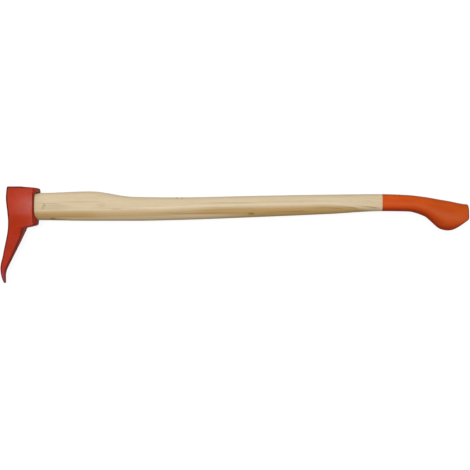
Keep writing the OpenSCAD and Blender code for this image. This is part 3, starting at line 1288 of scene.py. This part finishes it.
@dataclass(frozen=True)
class DippedPaint(Finish):
    """Glossy orange paint that the grip was dipped in, with the grain showing faintly through.

    It has painted shade towards the foot, underneath, on top, at its edges and in the calf's slanting
    hollow.
    """

    name: str = "dipped paint"
    gloss: float = 0.10
    roughness: float = 0.3
    uneven_roughness: float = 0.08
    side_roughness: float = 0.35
    colour: Colour = (0.67, 0.086, 0.002)
    # Painted shade, darker towards the foot.
    foot: Colour = (0.56, 0.079, 0.003)
    deep: Colour = (0.50, 0.050, 0.002)
    # Painted shade: under for the downward side and the calf's hollow, over for the upper flank, and the
    # third for the rounded edges.
    under: Colour = (0.40, 0.030, 0.002)
    over: Colour = (0.36, 0.085, 0.02)
    painted_shade: Colour = (0.17, 0.020, 0.004)
    cloud: Noise = Noise((40.0, 18.0, 18.0), 3.0, 0.5, 11.0)
    grain: Noise = Noise((60.0, 1.4, 1.4), 2.0, 0.5, 12.0)
    ripple: Noise = Noise((9.0, 9.0, 9.0), 1.0, 0.4, 13.0)
    foot_start: Step = (835.0, 950.0)
    cloudy: Step = (0.38, 0.68, 0.4)
    # Where painted shade falls: the calf's hollow, the downward side, the upper flank and the rounded
    # edges.
    calf: tuple[float, float] = (875.0, -12.0)
    calf_slant: tuple[float, float] = (0.46, 0.89)
    calf_depth: Step = (23.0, 7.0)
    calf_reach: Window = (855.0, 900.0, 930.0, 965.0, 0.75)
    underside: Step = (0.05, 0.7)
    topside: Step = (-0.5, -0.9, 0.5)
    sharp: Step = (0.4, 0.9, 0.8)
    grain_height: float = 0.05
    ripple_height: float = 0.10

    def look(self, work: NodeWork, axes: Axes) -> Look:
        """Give the paint its look.

        Args:
            work: The work on the material's tree.
            axes: The drawing frame's axes.

        Returns:
            The look.
        """
        x, y, _ = axes
        cloud, grain, ripple = (work.noise(axes, kind) for kind in (self.cloud, self.grain, self.ripple))
        under = work.attribute("under")
        run = (x - self.calf[0]) * self.calf_slant[0] + (y - self.calf[1]) * self.calf_slant[1]
        hollow = run.rise(*self.calf_depth) * x.within(*self.calf_reach)
        # Painted shade towards the foot, on the downward side and in the calf's hollow, on the upper flank
        # and along the rounded edges, over a random cloudy tone.
        colour = work.colours(self.colour, (
            (x.rise(*self.foot_start), self.foot),
            (cloud.rise(*self.cloudy), self.deep),
            (under.rise(*self.underside).at_least(hollow), self.under),
            (under.rise(*self.topside), self.over),
            (work.attribute("edge").rise(*self.sharp), self.painted_shade)))
        height = grain * self.grain_height + ripple * self.ripple_height
        return Look(colour, cloud, height)


class Mark(NamedTuple):
    """A blemish of the wood's near side unless its entry says otherwise: its place, its reach along and
    across, colour and strength.
    """

    x: float
    y: float
    along: float
    across: float
    colour: Colour
    share: float


@dataclass(frozen=True)
class AshWood(Finish):
    """Pale ash with brown heartwood low on the handle; its rings follow the heartwood's upper edge.

    Depth counts outwards from that edge. Each entry of run_out is a dark ring that comes to the
    surface: its depth, where it starts and where it is full.
    """

    name: str = "ash wood"
    relief: float = 0.6
    gloss: float = 0.25
    roughness: float = 0.55
    uneven_roughness: float = 0.12
    pale: Colour = (0.71, 0.575, 0.375)
    ring: Colour = (0.56, 0.42, 0.235)
    light: Colour = (0.79, 0.65, 0.46)
    heart: Colour = (0.50, 0.32, 0.122)
    dark: Colour = (0.36, 0.205, 0.065)
    pore: Colour = (0.27, 0.17, 0.08)
    end: Colour = (0.38, 0.27, 0.145)
    warp: Noise = Noise((230.0, 26.0, 26.0), 2.0, 0.5, 21.0)
    wave: Noise = Noise((60.0, 9.0, 9.0), 2.0, 0.5, 22.0)
    fibre: Noise = Noise((70.0, 0.8, 0.8), 3.0, 0.65, 23.0)
    streak: Noise = Noise((220.0, 2.4, 14.0), 3.0, 0.55, 24.0)
    pores: Noise = Noise((9.0, 0.42, 0.42), 1.0, 0.5, 25.0)
    uneven: Noise = Noise((7.0, 900.0, 1.0), 2.0, 0.6, 26.0)
    patch: Noise = Noise((130.0, 12.0, 12.0), 2.0, 0.5, 27.0)
    mottle: Noise = Noise((24.0, 4.0, 4.0), 2.0, 0.6, 28.0)
    pith_below: float = 70.0
    pith_z: float = 18.0
    warp_reach: float = 5.0
    wave_reach: float = 0.9
    edge_start: float = -9.5
    edge_steps: tuple[Step, ...] = ((180.0, 540.0, 11.5), (540.0, 690.0, 1.5), (700.0, 830.0, -11.0))
    edge_sag: Window = (240.0, 340.0, 630.0, 690.0, -1.6)
    ring_gap: float = 3.1
    ring_uneven: float = 3.0
    early_wood: Window = (0.0, 0.15, 0.2, 0.7)
    ring_patch: Step = (0.3, 0.75, 0.75)
    ring_streak: Step = (0.5, 0.75, 0.4)
    dark_mottle: Step = (0.5, 0.8, 0.3)
    light_mottle: Step = (0.45, 0.2, 0.3)
    eye_shade: Step = (88.0, 60.0, 0.35)
    fibre_share: float = 1.2
    heart_edge: Step = (2.0, -7.0)
    heart_ragged: float = 7.0
    heart_core: Step = (-12.0, -15.5, 0.6)
    core_end: Step = (560.0, 440.0)
    heart_gap: Window = (160.0, 230.0, 380.0, 450.0, 0.28)
    brown_streak: Step = (0.45, 0.68, 0.7)
    run_out: tuple[tuple[float, float, float], ...] = (
        (-7.0, 650.0, 722.0), (-2.3, 690.0, 756.0), (3.6, 745.0, 800.0), (-12.0, 560.0, 640.0))
    run_out_width: float = 2.2
    run_out_end: tuple[float, float, float] = (-4.0, 10.0, 0.85)
    light_ring: tuple[float, float] = (3.6, 3.0)
    light_reach: Window = (220.0, 340.0, 700.0, 780.0, 0.7)
    open_pore: Step = (0.66, 0.78)
    pore_share: tuple[float, float] = (0.25, 0.5)
    end_grain: Step = (9.0, 6.0)
    end_share: tuple[float, float] = (0.45, 0.4)
    near_side: Step = (0.0, 6.0)
    mark_edge: Step = (1.0, 0.1)
    mark_ragged: tuple[float, float] = (1.2, 2.5)
    height: float = 0.05
    marks: tuple[Mark, ...] = (
        Mark(82.0, 1.5, 4.0, 5.4, (0.33, 0.33, 0.18), 0.62),
        Mark(79.0, -3.5, 3.6, 4.4, (0.36, 0.28, 0.18), 0.5),
        Mark(76.0, -11.0, 6.5, 4.0, (0.70, 0.42, 0.28), 0.4),
        # Partly brown heartwood and partly painted shade, along the underside behind the head.
        Mark(92.0, -28.0, 46.0, 5.5, (0.24, 0.14, 0.06), 0.5),
        Mark(108.0, -3.0, 42.0, 8.5, (0.44, 0.35, 0.21), 0.35),
        Mark(485.0, 7.4, 66.0, 2.6, (0.45, 0.35, 0.20), 0.4),
        Mark(92.0, 6.4, 36.0, 0.9, (0.45, 0.30, 0.19), 0.55),
        Mark(168.0, 10.3, 46.0, 0.9, (0.45, 0.36, 0.19), 0.5),
        Mark(237.0, -6.0, 13.0, 0.9, (0.40, 0.26, 0.13), 0.6),
        Mark(100.0, -26.0, 9.0, 3.0, (0.22, 0.12, 0.04), 0.6),
        Mark(205.0, 3.0, 13.0, 5.0, (0.62, 0.40, 0.25), 0.35),
        Mark(368.0, 18.0, 3.4, 1.8, (0.25, 0.16, 0.10), 0.8),
        Mark(379.0, 18.0, 2.8, 1.6, (0.25, 0.16, 0.10), 0.7),
        Mark(455.0, -15.0, 150.0, 2.6, (0.36, 0.205, 0.065), 0.55),
        Mark(529.0, -15.5, 10.0, 3.4, (0.24, 0.12, 0.035), 0.7))

    def _depth(self, axes: Axes, warp: Field, wave: Field) -> Field:
        """Depth outwards from the heartwood's edge, round the pith.

        Args:
            axes: The drawing frame's axes.
            warp: The long bend of the rings, about 0.
            wave: Their short waves, about 0.

        Returns:
            The depth in millimetres.
        """
        x, y, z = axes
        edge = sum((x.rise(*step) for step in self.edge_steps), self.edge_start) + x.within(*self.edge_sag)
        above, off_z = y - edge + self.pith_below, z - self.pith_z
        radius = (above * above + off_z * off_z) ** 0.5
        return radius - self.pith_below + warp * self.warp_reach + wave * self.wave_reach

    def _heartwood(self, x: Field, depth: Field, streak: Field) -> Field:
        """Share of brown heartwood.

        Args:
            x: Place along the handle.
            depth: Depth from the heartwood's edge.
            streak: Noise along the rings.

        Returns:
            The share, less in the core near the head and in a gap behind the hump.
        """
        share = (depth + (streak - 0.5) * self.heart_ragged).rise(*self.heart_edge)
        core = depth.rise(*self.heart_core) * x.rise(*self.core_end)
        return share * (1 - core) * (1 - x.within(*self.heart_gap))

    def look(self, work: NodeWork, axes: Axes) -> Look:
        """Give the wood its look.

        Args:
            work: The work on the material's tree.
            axes: The drawing frame's axes.

        Returns:
            The look.
        """
        x, y, z = axes
        kinds = (self.warp, self.wave, self.fibre, self.pores, self.patch, self.mottle)
        warp, wave, fibre, pores, patch, mottle = (work.noise(axes, kind) for kind in kinds)
        wave, fine = wave - 0.5, fibre - 0.5
        depth = self._depth(axes, warp - 0.5, wave)
        streak = work.noise((x, depth, z), self.streak)
        uneven = work.noise((depth, x, 0.0), self.uneven)
        place = (depth / self.ring_gap + uneven * self.ring_uneven).fraction()
        early = place.within(*self.early_wood)
        pore = pores.rise(*self.open_pore)
        brown = work.colours(self.heart, ((streak.rise(*self.brown_streak), self.dark),))
        coats = [
            (early * patch.rise(*self.ring_patch), self.ring),
            (streak.rise(*self.ring_streak), self.ring),
            (mottle.rise(*self.dark_mottle), self.ring),
            (mottle.rise(*self.light_mottle), self.light),
            (x.rise(*self.eye_shade), self.ring),
            (fine.at_least(0.0) * self.fibre_share, self.ring),
            (self._heartwood(x, depth, streak), brown)]
        fade, gone, share = self.run_out_end
        for middle, start, full in self.run_out:
            along = x.within(start, full, full + fade, full + gone, share)
            coats.append((depth.bump_at(middle, self.run_out_width) * along, self.dark))
        coats += [
            (depth.bump_at(*self.light_ring) * x.within(*self.light_reach), self.light),
            (pore * (self.pore_share[0] + early * self.pore_share[1]), self.pore),
            (x.rise(*self.end_grain) * (self.end_share[0] + early * self.end_share[1]), self.end)]
        near = z.rise(*self.near_side)
        ragged = wave * self.mark_ragged[0] + fine * self.mark_ragged[1]
        for mark in self.marks:
            off_x, off_y = (x - mark.x) / mark.along, (y - mark.y) / mark.across
            spot = (off_x * off_x + off_y * off_y + ragged).rise(*self.mark_edge)
            coats.append((spot * near * mark.share, mark.colour))
        return Look(work.colours(self.pale, coats), fibre, (fibre - pore) * self.height)


@dataclass(frozen=True)
class WedgeWood(Finish):
    """Darker hardwood of the wedge."""

    name: str = "wedge wood"
    roughness: float = 0.65
    uneven_roughness: float = 0.1
    pale: Colour = (0.40, 0.22, 0.10)
    dark: Colour = (0.25, 0.12, 0.05)
    fibre: Noise = Noise((30.0, 0.9, 0.7), 3.0, 0.6, 31.0)
    fibrous: Step = (0.35, 0.7)
    height: float = 0.1

    def look(self, work: NodeWork, axes: Axes) -> Look:
        """Give the wedge's wood its look.

        Args:
            work: The work on the material's tree.
            axes: The drawing frame's axes.

        Returns:
            The look.
        """
        fibre = work.noise(axes, self.fibre)
        colour = work.colours(self.pale, ((fibre.rise(*self.fibrous), self.dark),))
        return Look(colour, fibre, fibre * self.height)


@dataclass(frozen=True)
class WedgeSteel(Finish):
    """Bare rolled steel with hammer marks and a dark scale."""

    name: str = "wedge steel"
    metallic: float = 1.0
    roughness: float = 0.5
    uneven_roughness: float = 0.3
    bright: Colour = (0.42, 0.41, 0.40)
    scale: Colour = (0.16, 0.14, 0.13)
    patch: Noise = Noise((3.0, 3.0, 3.0), 3.0, 0.6, 41.0)
    fine: Noise = Noise((0.5, 0.5, 0.5), 2.0, 0.6, 42.0)
    scaled: Step = (0.45, 0.65)
    patch_height: float = 0.2
    fine_height: float = 0.03

    def look(self, work: NodeWork, axes: Axes) -> Look:
        """Give the steel its look.

        Args:
            work: The work on the material's tree.
            axes: The drawing frame's axes.

        Returns:
            The look.
        """
        patch, fine = (work.noise(axes, kind) for kind in (self.patch, self.fine))
        colour = work.colours(self.bright, ((patch.rise(*self.scaled), self.scale),))
        return Look(colour, patch, patch * self.patch_height + fine * self.fine_height)


# Pieces


@dataclass
class AshHandle:
    """The wooden handle with the sawn kerf and slots in its tenon."""

    frame: ToolFrame
    shape: HandleShape
    head: HeadShape
    wedging: Wedging
    sweep: OvalSweep
    ahead: tuple[float, float] = (-8.0, -4.0)
    cap_rings: int = 6
    tenon_rings: int = 20
    shaft_rings: int = 300
    grip_rings: int = 100

    def build(self, finish: Material) -> Object:
        """Make the handle's mesh.

        Args:
            finish: Its material.

        Returns:
            The handle.
        """
        shape = self.shape
        places = [*self.ahead, 0.0, *spread(0.0, shape.flare_depth, self.tenon_rings)]
        places += spread(shape.flare_depth, shape.grip_x, self.shaft_rings)
        under_coat = spread(shape.grip_x, shape.length - shape.end_round, self.grip_rings)[:-1]
        sections = [shape.section(places[0], 0.0, k / self.cap_rings) for k in range(self.cap_rings)]
        sections += [shape.section(x) for x in places]
        sections += [shape.section(x, -shape.coat) for x in (shape.grip_x, *under_coat)]
        sections += shape.end_sections(-shape.coat)
        handle = self.sweep.sweep("ash_handle", self.frame, sections, finish)
        combine(handle, self.head.ahead_of_tenon())
        self.wedging.cut_kerf(handle)
        self.wedging.cut_slots(handle)
        shade(handle)
        return handle


@dataclass
class GripCoat:
    """The coat of paint on the grip, one closed skin with an inner and an outer wall."""

    frame: ToolFrame
    shape: HandleShape
    sweep: OvalSweep
    lip: float = 0.6
    lip_steps: int = 6
    rings: int = 120
    edge_rounds: int = 1
    edge_full: float = 3.5

    def build(self, finish: Material) -> Object:
        """Make the coat's mesh, from the middle of its inner end round the lip to the outer one.

        Args:
            finish: Its material.

        Returns:
            The coat.
        """
        shape, start = self.shape, self.shape.grip_x
        along = spread(start + self.lip, shape.length - shape.end_round, self.rings)[:-1]
        sections = list(reversed(shape.end_sections(-shape.coat)))
        sections += [shape.section(x, -shape.coat) for x in (*reversed(along), start)]
        sections += [shape.section(start + self.lip * (1 - math.sin(a)), -shape.coat * math.cos(a))
                     for a in reversed(quarter(0, self.lip_steps))]
        sections += [shape.section(x) for x in along]
        sections += shape.end_sections(0.0)
        coat = self.sweep.sweep("grip_paint", self.frame, sections, finish)
        mark_surface(coat, self.edge_rounds, self.edge_full)
        coat.data.shade_smooth()
        return coat


@dataclass
class TenonWedges:
    """The wooden wedge and the two steel wedges driven across it."""

    head: HeadShape
    wedging: Wedging
    wood_edge: float = 0.25
    wood_edge_faces: int = 2
    steel_edge: float = 0.3
    steel_edge_faces: int = 3

    def _eased(self, wedge: Object, width: float, segments: int) -> Object:
        """Ease a wedge's edges.

        Args:
            wedge: The wedge.
            width: Width of the eased edges in millimetres.
            segments: How many faces an eased edge has.

        Returns:
            The same wedge.
        """
        modify(wedge, "BEVEL", width=width * MM, segments=segments, limit_method="ANGLE")
        shade(wedge)
        return wedge

    def build_wood(self) -> Object:
        """Make the wooden wedge.

        Returns:
            The wedge.
        """
        wedge = self.wedging.wood_wedge("oak_wedge")
        combine(wedge, self.head.ahead_of_tenon())
        self.wedging.cut_slots(wedge)
        return self._eased(wedge, self.wood_edge, self.wood_edge_faces)

    def build_steel(self) -> Object:
        """Make the two steel wedges, which share a node.

        Returns:
            Both wedges as one object.
        """
        wedges = self.wedging.steel_wedge("steel_wedge_pair", 1)
        combine(wedges, self.wedging.steel_wedge("lower", -1), "UNION")
        combine(wedges, self.head.ahead_of_tenon())
        return self._eased(wedges, self.steel_edge, self.steel_edge_faces)


# Studio


@dataclass(frozen=True)
class Lamp:
    """One area lamp: its place and size in metres and its power."""

    name: str
    place: Point
    size: tuple[float, float]
    watts: float


@dataclass
class Studio:
    """Camera, lamps, world and floor; its lengths are metres.

    The floor passes through heel and toe, each an X and a Z.
    """

    camera_height: float = 2.0
    camera_x: float = 0.0019
    camera_y: float = -0.00025
    metres_per_pixel: float = 0.002175
    middle_z: float = 0.021
    sensor_mm: float = 36.0
    clip: tuple[float, float] = (0.01, 100.0)
    lamps: tuple[Lamp, ...] = (
        Lamp("key", (-0.2, 1.8, 1.6), (2.2, 0.8), 17.0),
        Lamp("left box", (-0.78, 0.16, 2.0), (0.27, 0.29), 8.2),
        Lamp("right box", (0.78, 0.0, 2.0), (0.35, 0.35), 3.6))
    dome_strength: float = 0.98
    dome_power: float = 2.0
    dome_floor: float = 0.04
    floor_reach: float = 6.0
    floor_grey: float = 0.10
    shown_grey: float = 0.18
    shown_glow: float = 0.88
    heel: tuple[float, float] = (-0.4482, 0.0)
    toe: tuple[float, float] = (0.4633, 0.00455)

    def build(self) -> None:
        """Set up all of it."""
        self._camera()
        self._world()
        self._floor()
        for lamp in self.lamps:
            self._lamp(lamp)

    def _camera(self) -> None:
        """A camera straight above the tool, framed as the photograph."""
        data = bpy.data.cameras.new("camera")
        data.sensor_width = self.sensor_mm
        data.sensor_fit = "HORIZONTAL"
        data.lens = self.sensor_mm * self.camera_height / (IMAGE_PIXELS * self.metres_per_pixel)
        data.clip_start, data.clip_end = self.clip
        camera = link_object("camera", data)
        camera.location = (self.camera_x, self.camera_y, self.middle_z + self.camera_height)
        bpy.context.scene.camera = camera

    def _lamp(self, lamp: Lamp) -> None:
        """Hang a lamp so that it faces the tool's middle.

        Args:
            lamp: Which lamp.
        """
        data = bpy.data.lights.new(lamp.name, "AREA")
        data.shape = "RECTANGLE"
        data.size, data.size_y = lamp.size
        data.energy = lamp.watts
        hung = link_object(lamp.name, data)
        hung.location = lamp.place
        hung.rotation_euler = (-Vector(lamp.place)).to_track_quat("-Z", "Y").to_euler()

    def _shader(self, work: NodeWork, kind: str, level: float, **inputs: Term) -> NodeSocket:
        """A shader node of a grey level."""
        inputs["Color"] = (level, level, level, 1.0)
        return work.node(f"ShaderNode{kind}", None, inputs).outputs[0]

    def _show(self, work: NodeWork, lit: NodeSocket, shown: NodeSocket, output: str) -> None:
        """Light with one shader and show the other as the background.

        Args:
            work: The work on the tree.
            lit: The shader that the light meets.
            shown: The shader for camera, glossy and transmitted rays.
            output: Blender's name for the tree's output.
        """
        path = work.node("ShaderNodeLightPath").outputs
        camera, glossy, through = (
            Field(work, path[f"Is {kind} Ray"]) for kind in ("Camera", "Glossy", "Transmission"))
        seen = camera.at_least(glossy).at_least(through)
        mixed = work.node("ShaderNodeMixShader", None, {0: seen, 1: lit, 2: shown})
        work.node(f"ShaderNodeOutput{output}", None, {"Surface": mixed.outputs[0]})

    def _world(self) -> None:
        """A dim grey room that shows as white."""
        world = bpy.data.worlds.new("room")
        world.use_nodes = True
        bpy.context.scene.world = world
        work = NodeWork(world.node_tree)
        work.tree.nodes.clear()
        way = work.node("ShaderNodeTexCoord").outputs["Generated"]
        up = Field(work, work.node("ShaderNodeSeparateXYZ", None, {"Vector": way}).outputs["Z"])
        strength = up.at_least(0.0) ** self.dome_power * self.dome_strength + self.dome_floor
        dim = self._shader(work, "Background", 1.0, Strength=strength)
        self._show(work, dim, self._shader(work, "Background", 1.0, Strength=1.0), "World")

    def _floor(self) -> None:
        """A pale floor that touches the tool's heel and toe, and shows white but for a soft shadow."""
        slope = (self.toe[1] - self.heel[1]) / (self.toe[0] - self.heel[0])
        reach = self.floor_reach
        square = [(-reach, -reach), (reach, -reach), (reach, reach), (-reach, reach)]
        points = [(x, y, self.heel[1] + (x - self.heel[0]) * slope) for x, y in square]
        floor = mesh_object("floor", points, [(0, 1, 2, 3)])
        material = bpy.data.materials.new("pale floor")
        material.use_nodes = True
        work = NodeWork(material.node_tree)
        work.tree.nodes.clear()
        lit = self._shader(work, "BsdfDiffuse", self.floor_grey)
        pale = self._shader(work, "BsdfDiffuse", self.shown_grey)
        glow = self._shader(work, "Emission", 1.0, Strength=self.shown_glow)
        shown = work.node("ShaderNodeAddShader", None, {0: pale, 1: glow})
        self._show(work, lit, shown.outputs[0], "Material")
        floor.data.materials.append(material)


def main() -> None:
    """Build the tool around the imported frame."""
    logging.basicConfig(level=logging.INFO, format="%(name)s: %(message)s")
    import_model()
    bpy.context.scene.view_settings.view_transform = "Standard"
    handle_shape = HandleShape()
    frame = ToolFrame(
        x=-(handle_shape.length - HeadShape.pick_kick) / 2,
        y=-(HeadShape.top + HeadShape.tip_y) / 2,
        z=HeadShape.width / 2)
    head_shape = HeadShape(frame)
    wedging = Wedging(frame)
    sweep = OvalSweep(handle_shape)
    ash = AshWood().material(frame)
    paint = DippedPaint().material(frame)
    head = PickHead(frame, head_shape, handle_shape).build()
    add_piece(head, "head", HeadEnamel().material(frame))
    handle = AshHandle(frame, handle_shape, head_shape, wedging, sweep).build(ash)
    add_piece(handle, "handle", ash)
    coat = GripCoat(frame, handle_shape, sweep).build(paint)
    add_piece(coat, "grip_coat", paint)
    wedges = TenonWedges(head_shape, wedging)
    add_piece(wedges.build_wood(), "wood_wedge", WedgeWood().material(frame))
    add_piece(wedges.build_steel(), "steel_wedges", WedgeSteel().material(frame))
    Studio().build()


if __name__ == "__main__":
    main()
